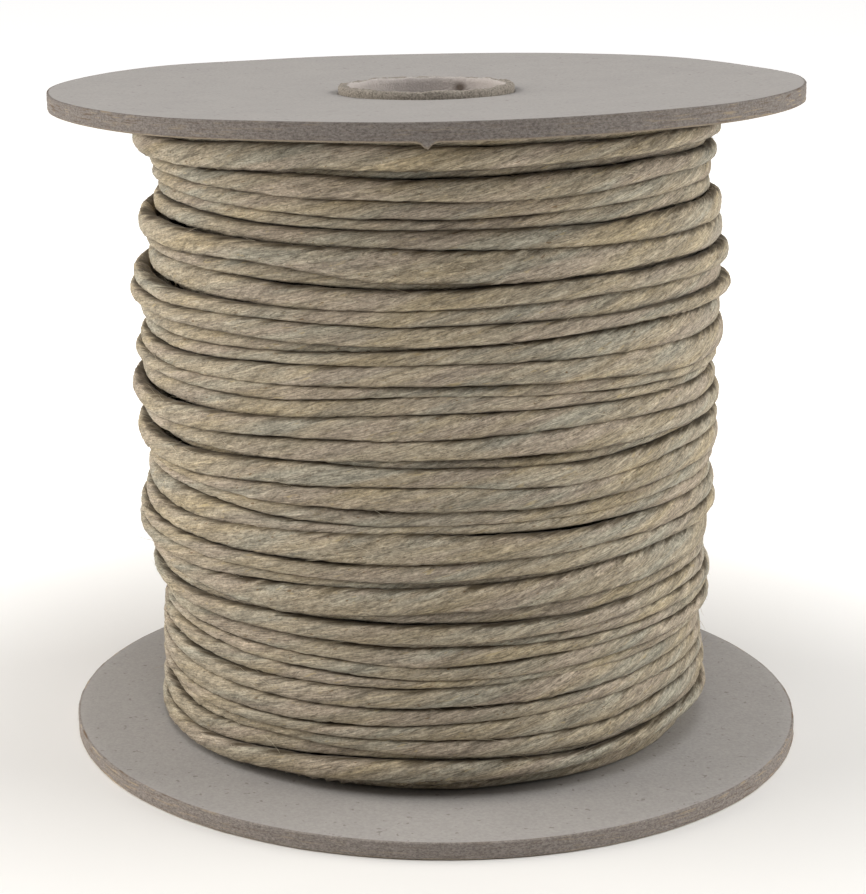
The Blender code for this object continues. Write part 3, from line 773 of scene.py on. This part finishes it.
def looseFibreTree():
    tree, given = newTree("looseFibres", {
        "Geometry": "Geometry", "Density": "Float", "Points": "Int", "Shortest": "Float",
        "Longest": "Float", "Radius": "Float", "Spread": "Float", "Lift": "Float", "Curl": "Float",
        "Seed": "Int", "Material": "Material",
    })
    # roots on the outer half of the cord
    position = addNode(tree, "GeometryNodeInputPosition", {}, {})
    flat = addNode(tree, "ShaderNodeVectorMath", times, {0: position, 1: (1.0, 1.0, 0.0)})
    flat = addNode(tree, "ShaderNodeVectorMath", {"operation": "NORMALIZE"}, {0: flat})
    normal = addNode(tree, "GeometryNodeInputNormal", {}, {})
    facing = addNode(tree, "ShaderNodeVectorMath", {"operation": "DOT_PRODUCT"}, {0: normal, 1: flat})
    outer = addNode(
        tree, "FunctionNodeCompare", {"operation": "GREATER_THAN"},
        {"A": facing.outputs["Value"], "B": 0.35},
    )
    roots = addNode(
        tree, "GeometryNodeDistributePointsOnFaces", {"distribute_method": "RANDOM"},
        {"Mesh": given["Geometry"], "Selection": outer, "Density": given["Density"],
         "Seed": given["Seed"]},
    )
    tint = addNode(
        tree, "FunctionNodeRandomValue", {"data_type": "FLOAT"}, {"Min": 0.0, "Max": 1.0, "Seed": 3}
    )
    marked = addNode(
        tree, "GeometryNodeStoreNamedAttribute", {"data_type": "FLOAT", "domain": "POINT"},
        {"Geometry": roots.outputs["Points"], "Name": "tint", "Value": tint},
    )

    # each hair runs along the cord, turned a little to one side, to the left or to the right
    around = addNode(
        tree, "ShaderNodeVectorMath", {"operation": "CROSS_PRODUCT"}, {0: (0.0, 0.0, 1.0), 1: flat}
    )
    side = addNode(tree, "FunctionNodeRandomValue", {"data_type": "INT"}, {"Min": 0, "Max": 1, "Seed": 4})
    turn = addNode(
        tree, "FunctionNodeRandomValue", {"data_type": "FLOAT"}, {"Min": -1.0, "Max": 1.0, "Seed": 5}
    )
    turn = addNode(tree, "ShaderNodeMath", times, {0: turn, 1: given["Spread"]})
    turn = addNode(tree, "ShaderNodeMath", timesPlus, {0: side, 1: math.pi, 2: turn})
    heading = addNode(
        tree, "ShaderNodeVectorRotate", {"rotation_type": "AXIS_ANGLE"},
        {"Vector": around, "Center": (0.0, 0.0, 0.0), "Axis": flat, "Angle": turn},
    )
    facingOut = addNode(
        tree, "FunctionNodeAxesToRotation", {"primary_axis": "Z", "secondary_axis": "X"},
        {"Primary Axis": roots.outputs["Normal"], "Secondary Axis": heading},
    )

    # most hairs are short, a few are long
    length = addNode(
        tree, "FunctionNodeRandomValue", {"data_type": "FLOAT"}, {"Min": 0.0, "Max": 1.0, "Seed": 6}
    )
    length = addNode(tree, "ShaderNodeMath", toPower, {0: length, 1: 3.0})
    length = addNode(
        tree, "ShaderNodeMapRange", {},
        {"Value": length, "To Min": given["Shortest"], "To Max": given["Longest"]},
    )

    # one hair of unit length, its tip lifted
    hair = addNode(
        tree, "GeometryNodeCurvePrimitiveLine", {"mode": "POINTS"},
        {"Start": (0.0, 0.0, 0.0), "End": (1.0, 0.0, 0.0)},
    )
    hair = addNode(tree, "GeometryNodeResampleCurve", {}, {"Curve": hair, "Count": given["Points"]})
    spot = addNode(tree, "GeometryNodeSplineParameter", {}, {})
    rise = addNode(tree, "ShaderNodeMath", toPower, {0: spot.outputs["Factor"], 1: 2.0})
    rise = addNode(tree, "ShaderNodeMath", times, {0: rise, 1: given["Lift"]})
    rise = addNode(tree, "ShaderNodeCombineXYZ", {}, {"Z": rise})
    hair = addNode(tree, "GeometryNodeSetPosition", {}, {"Geometry": hair, "Offset": rise})
    planted = addNode(
        tree, "GeometryNodeInstanceOnPoints", {},
        {"Points": marked, "Instance": hair, "Rotation": facingOut, "Scale": length},
    )
    planted = addNode(tree, "GeometryNodeRealizeInstances", {}, {"Geometry": planted})

    # each one then curls in its own way, more towards its tip
    curl = addNode(
        tree, "ShaderNodeTexNoise", {},
        {"Vector": position, "Scale": 1 / hairs["curlEvery"], "Detail": 1.0},
    )
    curl = addNode(tree, "ShaderNodeVectorMath", minus, {0: curl.outputs["Color"], 1: (0.5, 0.5, 0.5)})
    reachOut = addNode(tree, "ShaderNodeMath", times, {0: spot.outputs["Factor"], 1: given["Curl"]})
    curl = addNode(tree, "ShaderNodeVectorMath", scaled, {0: curl, "Scale": reachOut})
    curl = addNode(tree, "ShaderNodeVectorMath", scaled, {0: curl, "Scale": 2.0})
    planted = addNode(tree, "GeometryNodeSetPosition", {}, {"Geometry": planted, "Offset": curl})
    taper = addNode(tree, "ShaderNodeMath", timesPlus, {0: spot.outputs["Factor"], 1: -0.6, 2: 1.0})
    section = addNode(
        tree, "GeometryNodeCurvePrimitiveCircle", {}, {"Resolution": 3, "Radius": given["Radius"]}
    )
    body = addNode(
        tree, "GeometryNodeCurveToMesh", {},
        {"Curve": planted, "Profile Curve": section, "Scale": taper, "Fill Caps": True},
    )
    body = addNode(tree, "GeometryNodeRealizeInstances", {}, {"Geometry": body})
    body = addNode(tree, "GeometryNodeSetMaterial", {}, {"Geometry": body, "Material": given["Material"]})
    addNode(tree, "NodeGroupOutput", {}, {"Geometry": body})
    return tree


def looseFibreMaterial():
    # single bast fibres: paler than the cord where the light passes through them
    material, tree, surface = newMaterial("single hemp fibres")
    tint = addNode(tree, "ShaderNodeAttribute", {"attribute_name": "tint"}, {}).outputs["Fac"]
    tone = addNode(
        tree, "ShaderNodeMix", mixColours,
        {"Factor": tint, "A": toLinear(hairs["pale"]), "B": toLinear(hairs["brown"])},
    )
    fillInputs(tree, surface, {
        "Base Color": tone, "Roughness": hairs["roughness"], "Specular IOR Level": hairs["specular"],
    })
    return material


def makeLooseFibres(bands):
    tree = looseFibreTree()
    material = looseFibreMaterial()
    pieces = []
    for number, band in enumerate(bands):
        piece = bpy.data.objects.new("fibres_" + cord["bands"][number], band.data.copy())
        bpy.context.scene.collection.objects.link(piece)
        pieces.append(grow(piece, tree, {
            "Density": hairs["perSquareMetre"], "Points": hairs["points"],
            "Shortest": hairs["shortest"], "Longest": hairs["longest"],
            "Radius": 0.5 * hairs["thickness"], "Spread": hairs["spread"], "Lift": hairs["lift"],
            "Curl": hairs["curl"], "Seed": cord["seed"] + number, "Material": material,
        }))
    return pieces


for piece in [*cordBands, underCord, *makeLooseFibres(cordBands)]:
    leanOver(piece)
    finishPiece(piece, "hemp", "cord_winding")
print("cord wound")


# discs: die-cut greyboard, pressed from several plies
disc = {
    "columns": 720,
    "plies": 6,
    "plyShift": 0.08 * mm,
    "plyCrease": 0.06 * mm,
    "wave": 0.30 * mm,
    "lip": 0.10 * mm,
    "face": ("#9f9b98", "#aaa6a2"),
    "speck": "#77706a",
    "edge": ("#5f5854", "#88817b"),
    "lowerEdgePaintedLight": 1.4,  # painted light: the lower disc's edge is made paler, for the light that the floor throws up on it
    "edgeTan": "#9c8b70",
    "edgeBrown": "#5c4a38",
    "mottle": 9.0 * mm,
    "pulp": 0.5 * mm,
    "speckSize": 1.1 * mm,
    "edgeGrain": (0.5 * mm, 0.5 * mm, 0.26 * mm),
    "edgePly": (6.0 * mm, 6.0 * mm, 0.30 * mm),
    "roughness": 0.88,
    "specular": 0.3,
}
# a shred of board that hangs from the upper rim at the front
shred = {"angle": -math.pi / 2 + 0.006, "halfWidth": 0.012, "length": 1.75 * mm}


def ringMesh(name, profile, columns, shift):
    # a closed profile of (radius, height) points turned about Z, each point moved by shift
    points = []
    for column in range(columns):
        angle = math.tau * column / columns
        for radius, height in profile:
            r, z = shift(angle, radius, height)
            points.append((r * math.cos(angle), r * math.sin(angle), z))
    rows = len(profile)
    faces = []
    for column in range(columns):
        here, onward = column * rows, (column + 1) % columns * rows
        for row in range(rows):
            after = (row + 1) % rows
            faces.append((here + row, onward + row, onward + after, here + after))
    piece = newPiece(name, points, [], faces)
    piece.data.shade_smooth()
    storeOn(piece, "straight", "FLOAT_VECTOR", points)
    return piece


def discShift(angle, radius, height, low, outer, seed):
    # waves in the sheet, plies that end unevenly at the rim and a burr along its lower edge
    isUpper = low > 0
    around = Vector((math.cos(angle), math.sin(angle), seed))
    wave = disc["wave"] * noise.noise(around * 2.3 + Vector((0, 0, radius * 15))) * radius / outer
    rim = max(0.0, 1 - (outer - radius) / (0.8 * mm))
    level = min(max((height - low) / spool["board"], 0.0), 0.999)
    ply = level * disc["plies"]
    crease = abs(ply - round(ply)) < 0.12 and 0.02 < level < 0.98
    ragged = noise.noise(around * 14 + Vector((0, 0, 3.1 * math.floor(ply))))
    fine = noise.noise(around * 90 + Vector((0, 0, 9.7 * math.floor(ply))))
    shift = disc["plyShift"] * (ragged + 0.5 * fine) - (disc["plyCrease"] if crease else 0)
    hanging = max(0.0, 1 - level * 5)
    burr = disc["lip"] * hanging * (0.6 + 0.4 * noise.noise(around * 6 + Vector((0, 0, 40.0))))
    if not isUpper:
        return radius + rim * (shift + 0.4 * burr), height
    torn = math.exp(-(((angle - math.tau - shred["angle"]) / shred["halfWidth"]) ** 2))
    fall = dishDrop(radius) + rim * hanging * (burr + shred["length"] * torn)
    return radius + rim * (shift + 0.5 * burr), height + wave - fall


def greyboardMaterial():
    # greyboard from recycled fibre, pressed smooth and die cut: matt, plain grey with fine specks,
    # and at the cut edge a closer, darker grain with brown plies and a pale burr
    material, tree, surface = newMaterial("pressed greyboard")
    place = addNode(tree, "ShaderNodeAttribute", {"attribute_name": "straight"}, {}).outputs["Vector"]
    level = addNode(tree, "ShaderNodeAttribute", {"attribute_name": "level"}, {}).outputs["Fac"]
    mottle = addNode(
        tree, "ShaderNodeTexNoise", {},
        {"Vector": place, "Scale": 1 / disc["mottle"], "Detail": 4.0, "Roughness": 0.6},
    )
    tone = addNode(
        tree, "ShaderNodeMix", mixColours,
        {"Factor": mottle, "A": toLinear(disc["face"][0]), "B": toLinear(disc["face"][1])},
    )
    pulp = addNode(
        tree, "ShaderNodeTexNoise", {}, {"Vector": place, "Scale": 1 / disc["pulp"], "Detail": 2.0}
    )
    shade = addNode(tree, "ShaderNodeMapRange", {}, {"Value": pulp, **between(0.3, 0.7, 0.92, 1.07)})
    tone = addNode(tree, "ShaderNodeVectorMath", scaled, {0: tone, "Scale": shade})
    specks = addNode(
        tree, "ShaderNodeTexNoise", {}, {"Vector": place, "Scale": 1 / disc["speckSize"], "Detail": 1.0}
    )
    specks = addNode(tree, "ShaderNodeMapRange", {}, {"Value": specks, **between(0.70, 0.76, 0.0, 0.6)})
    tone = addNode(
        tree, "ShaderNodeMix", mixColours, {"Factor": specks, "A": tone, "B": toLinear(disc["speck"])}
    )

    # the cut edge, where long streaks are the ends of plies, most of them at the two sides
    parts = addNode(tree, "ShaderNodeSeparateXYZ", {}, {"Vector": place})
    flat = addNode(tree, "ShaderNodeVectorMath", times, {0: place, 1: (1.0, 1.0, 0.0)})
    radius = addNode(tree, "ShaderNodeVectorMath", lengthOf, {0: flat}).outputs["Value"]
    isEdge = addNode(
        tree, "ShaderNodeMapRange", {},
        {"Value": radius, **between(spool["upperRadius"] - 0.45 * mm, spool["upperRadius"] - 0.25 * mm)},
    )
    isLower = addNode(
        tree, "ShaderNodeMapRange", {}, {"Value": parts.outputs["Z"], **between(50 * mm, 40 * mm)}
    )
    outside = addNode(
        tree, "ShaderNodeMapRange", {},
        {"Value": radius, **between(spool["discRadius"] - 0.45 * mm, spool["discRadius"] - 0.25 * mm)},
    )
    isEdge = addNode(tree, "ShaderNodeMix", mixNumbers, {"Factor": isLower, "A": isEdge, "B": outside})
    grainPlace = addNode(
        tree, "ShaderNodeVectorMath", times, {0: place, 1: [1 / size for size in disc["edgeGrain"]]}
    )
    grain = addNode(
        tree, "ShaderNodeTexNoise", {},
        {"Vector": grainPlace, "Scale": 1.0, "Detail": 3.0, "Roughness": 0.75},
    )
    grainTone = addNode(tree, "ShaderNodeMapRange", {}, {"Value": grain, **between(0.34, 0.66)})
    edge = addNode(
        tree, "ShaderNodeMix", mixColours,
        {"Factor": grainTone, "A": toLinear(disc["edge"][0]), "B": toLinear(disc["edge"][1])},
    )
    plyPlace = addNode(
        tree, "ShaderNodeVectorMath", times, {0: place, 1: [1 / size for size in disc["edgePly"]]}
    )
    plies = addNode(
        tree, "ShaderNodeTexNoise", {},
        {"Vector": plyPlace, "Scale": 1.0, "Detail": 2.0, "Roughness": 0.6},
    )
    side = addNode(tree, "ShaderNodeMath", unsigned, {0: parts.outputs["X"]})
    side = addNode(
        tree, "ShaderNodeMapRange", {}, {"Value": side, **between(25 * mm, 58 * mm, 0.25, 0.85)}
    )
    for colour, start, end in ((disc["edgeBrown"], 0.42, 0.32), (disc["edgeTan"], 0.58, 0.68)):
        streak = addNode(tree, "ShaderNodeMapRange", {}, {"Value": plies, **between(start, end)})
        streak = addNode(tree, "ShaderNodeMath", times, {0: streak, 1: side})
        edge = addNode(
            tree, "ShaderNodeMix", mixColours, {"Factor": streak, "A": edge, "B": toLinear(colour)}
        )
    lip = addNode(tree, "ShaderNodeMapRange", {}, {"Value": level, **between(0.11, 0.05, 0.0, 0.5)})
    edge = addNode(
        tree, "ShaderNodeMix", mixColours, {"Factor": lip, "A": edge, "B": toLinear(disc["edgeTan"])}
    )
    # painted light: the lower disc's edge is made paler, for the light from the floor below it
    gain = addNode(
        tree, "ShaderNodeMapRange", {}, {"Value": isLower, "To Min": 1.0, "To Max": disc["lowerEdgePaintedLight"]}
    )
    edge = addNode(tree, "ShaderNodeVectorMath", scaled, {0: edge, "Scale": gain})
    tone = addNode(tree, "ShaderNodeMix", mixColours, {"Factor": isEdge, "A": tone, "B": edge})
    height = addNode(tree, "ShaderNodeMix", mixNumbers, {"Factor": isEdge, "A": pulp, "B": grain})
    bump = addNode(tree, "ShaderNodeBump", {}, {"Height": height, "Strength": 0.4, "Distance": 0.1 * mm})
    fillInputs(tree, surface, {
        "Base Color": tone, "Normal": bump, "Roughness": disc["roughness"],
        "Specular IOR Level": disc["specular"],
    })
    return material


def makeDisc(name, rim, low, seed, finish):
    high = low + spool["board"]
    hole, soft = spool["tubeRadius"] + 0.05 * mm, spool["edgeRounding"]  # frayed board closes the gap
    inner = [hole + share * (rim - hole) for share in (0.04, 0.15, 0.3, 0.5, 0.7, 0.85, 0.95)]
    levels = np.linspace(low + 0.5 * soft, high - 0.5 * soft, 19)
    profile = [(hole, low + soft), (hole + soft, low)]
    profile += [(radius, low) for radius in inner]
    profile += [(rim - soft, low)]
    profile += [(rim, float(level)) for level in levels]
    profile += [(rim - 0.3 * soft, high - 0.15 * soft), (rim - soft, high)]
    profile += [(radius, high) for radius in reversed(inner)]
    profile += [(hole + soft, high), (hole, high - soft)]
    piece = ringMesh(name, profile, disc["columns"], lambda a, r, z: discShift(a, r, z, low, rim, seed))
    storeOn(piece, "level", "FLOAT", [(z - low) / spool["board"] for r, z in profile] * disc["columns"])
    piece.data.materials.append(finish)
    return leanOver(piece)


boardFinish = greyboardMaterial()
upperBoard = spool["height"] - spool["board"]
for name, rim, low, seed in (
    ("flange_bottom", spool["discRadius"], 0.0, 2.0),
    ("flange_top", spool["upperRadius"], upperBoard, 5.0),
):
    finishPiece(makeDisc(name + "_board", rim, low, seed, boardFinish), "greyboard", name)
print("discs cut")


# core tube: spirally wound kraft paper, its upper rim rubbed to a felt
tube = {
    "columns": 240,
    "ragged": 0.30 * mm,
    "felt": ("#59524a", "#a69e93"),
    "inside": ("#bab2ae", "#cdc5c0"),
    "tuft": 0.34 * mm,
    "stain": "#4f3f30",
    "stainPlace": (5.6 * mm, 11.3 * mm, 107.9 * mm),
    "stainStretch": (0.6, 0.6, 0.8),
    "stainFade": (0.3 * mm, 1.0 * mm, 0.8, 0.0),
    "roughness": 0.92,
    "specular": 0.25,
}


def corePaperMaterial():
    # spirally wound core paper: tan and fuzzy where it was cut, smooth and grey inside,
    # with a brown stain on the inner wall
    material, tree, surface = newMaterial("wound core paper")
    place = addNode(tree, "ShaderNodeAttribute", {"attribute_name": "straight"}, {}).outputs["Vector"]
    felt = addNode(
        tree, "ShaderNodeTexNoise", {},
        {"Vector": place, "Scale": 1 / tube["tuft"], "Detail": 3.0, "Roughness": 0.7},
    )
    tuft = addNode(tree, "ShaderNodeMapRange", {}, {"Value": felt, **between(0.26, 0.62)})
    tone = addNode(
        tree, "ShaderNodeMix", mixColours,
        {"Factor": tuft, "A": toLinear(tube["felt"][0]), "B": toLinear(tube["felt"][1])},
    )
    inner = addNode(
        tree, "ShaderNodeMix", mixColours,
        {"Factor": felt, "A": toLinear(tube["inside"][0]), "B": toLinear(tube["inside"][1])},
    )
    flat = addNode(tree, "ShaderNodeVectorMath", times, {0: place, 1: (1.0, 1.0, 0.0)})
    radius = addNode(tree, "ShaderNodeVectorMath", lengthOf, {0: flat}).outputs["Value"]
    bore = spool["tubeRadius"] - spool["tubeWall"]
    isInside = addNode(
        tree, "ShaderNodeMapRange", {}, {"Value": radius, **between(bore + 0.5 * mm, bore + 0.15 * mm)}
    )
    tone = addNode(tree, "ShaderNodeMix", mixColours, {"Factor": isInside, "A": tone, "B": inner})
    away = addNode(tree, "ShaderNodeVectorMath", minus, {0: place, 1: tube["stainPlace"]})
    away = addNode(tree, "ShaderNodeVectorMath", times, {0: away, 1: tube["stainStretch"]})
    away = addNode(tree, "ShaderNodeVectorMath", lengthOf, {0: away}).outputs["Value"]
    stain = addNode(tree, "ShaderNodeMapRange", {}, {"Value": away, **between(*tube["stainFade"])})
    tone = addNode(
        tree, "ShaderNodeMix", mixColours, {"Factor": stain, "A": tone, "B": toLinear(tube["stain"])}
    )
    bump = addNode(tree, "ShaderNodeBump", {}, {"Height": felt, "Strength": 0.8, "Distance": 0.25 * mm})
    fillInputs(tree, surface, {
        "Base Color": tone, "Normal": bump, "Roughness": tube["roughness"],
        "Specular IOR Level": tube["specular"],
    })
    return material


def tubeTop():
    return spool["height"] - spool["dish"] + spool["tubeProud"]


def tubeShift(angle, radius, height):
    around = Vector((math.cos(angle), math.sin(angle), 0.0))
    nearTop = max(0.0, 1 - (tubeTop() - height) / (2.0 * mm))
    ragged = tube["ragged"] * nearTop
    lift = ragged * (noise.noise(around * 4 + Vector((0, 0, radius * 900))) - 0.5)
    lift = lift + 0.5 * ragged * noise.noise(around * 26 + Vector((0, 0, radius * 900)))
    side = 0.6 * ragged * noise.noise(around * 22 + Vector((5, 0, height * 700)))
    return radius + side, height + lift


def makeTube():
    inner, outer = spool["tubeRadius"] - spool["tubeWall"], spool["tubeRadius"]
    foot, top, soft = spool["tubeRecess"], tubeTop(), 0.3 * mm
    levels = [foot + soft, *np.linspace(10 * mm, 100 * mm, 5), *np.linspace(104 * mm, top - soft, 9)]
    profile = [(inner + soft, foot), (outer - soft, foot)]
    profile += [(outer, float(level)) for level in levels]
    profile += [(outer - share * spool["tubeWall"], top) for share in (0.17, 0.33, 0.5, 0.67, 0.83)]
    profile += [(inner, float(level)) for level in reversed(levels)]
    piece = ringMesh("core_tube_paper", profile, tube["columns"], tubeShift)
    piece.data.materials.append(corePaperMaterial())
    return leanOver(piece)


finishPiece(makeTube(), "core_paper", "core_tube")
print("tube set in")
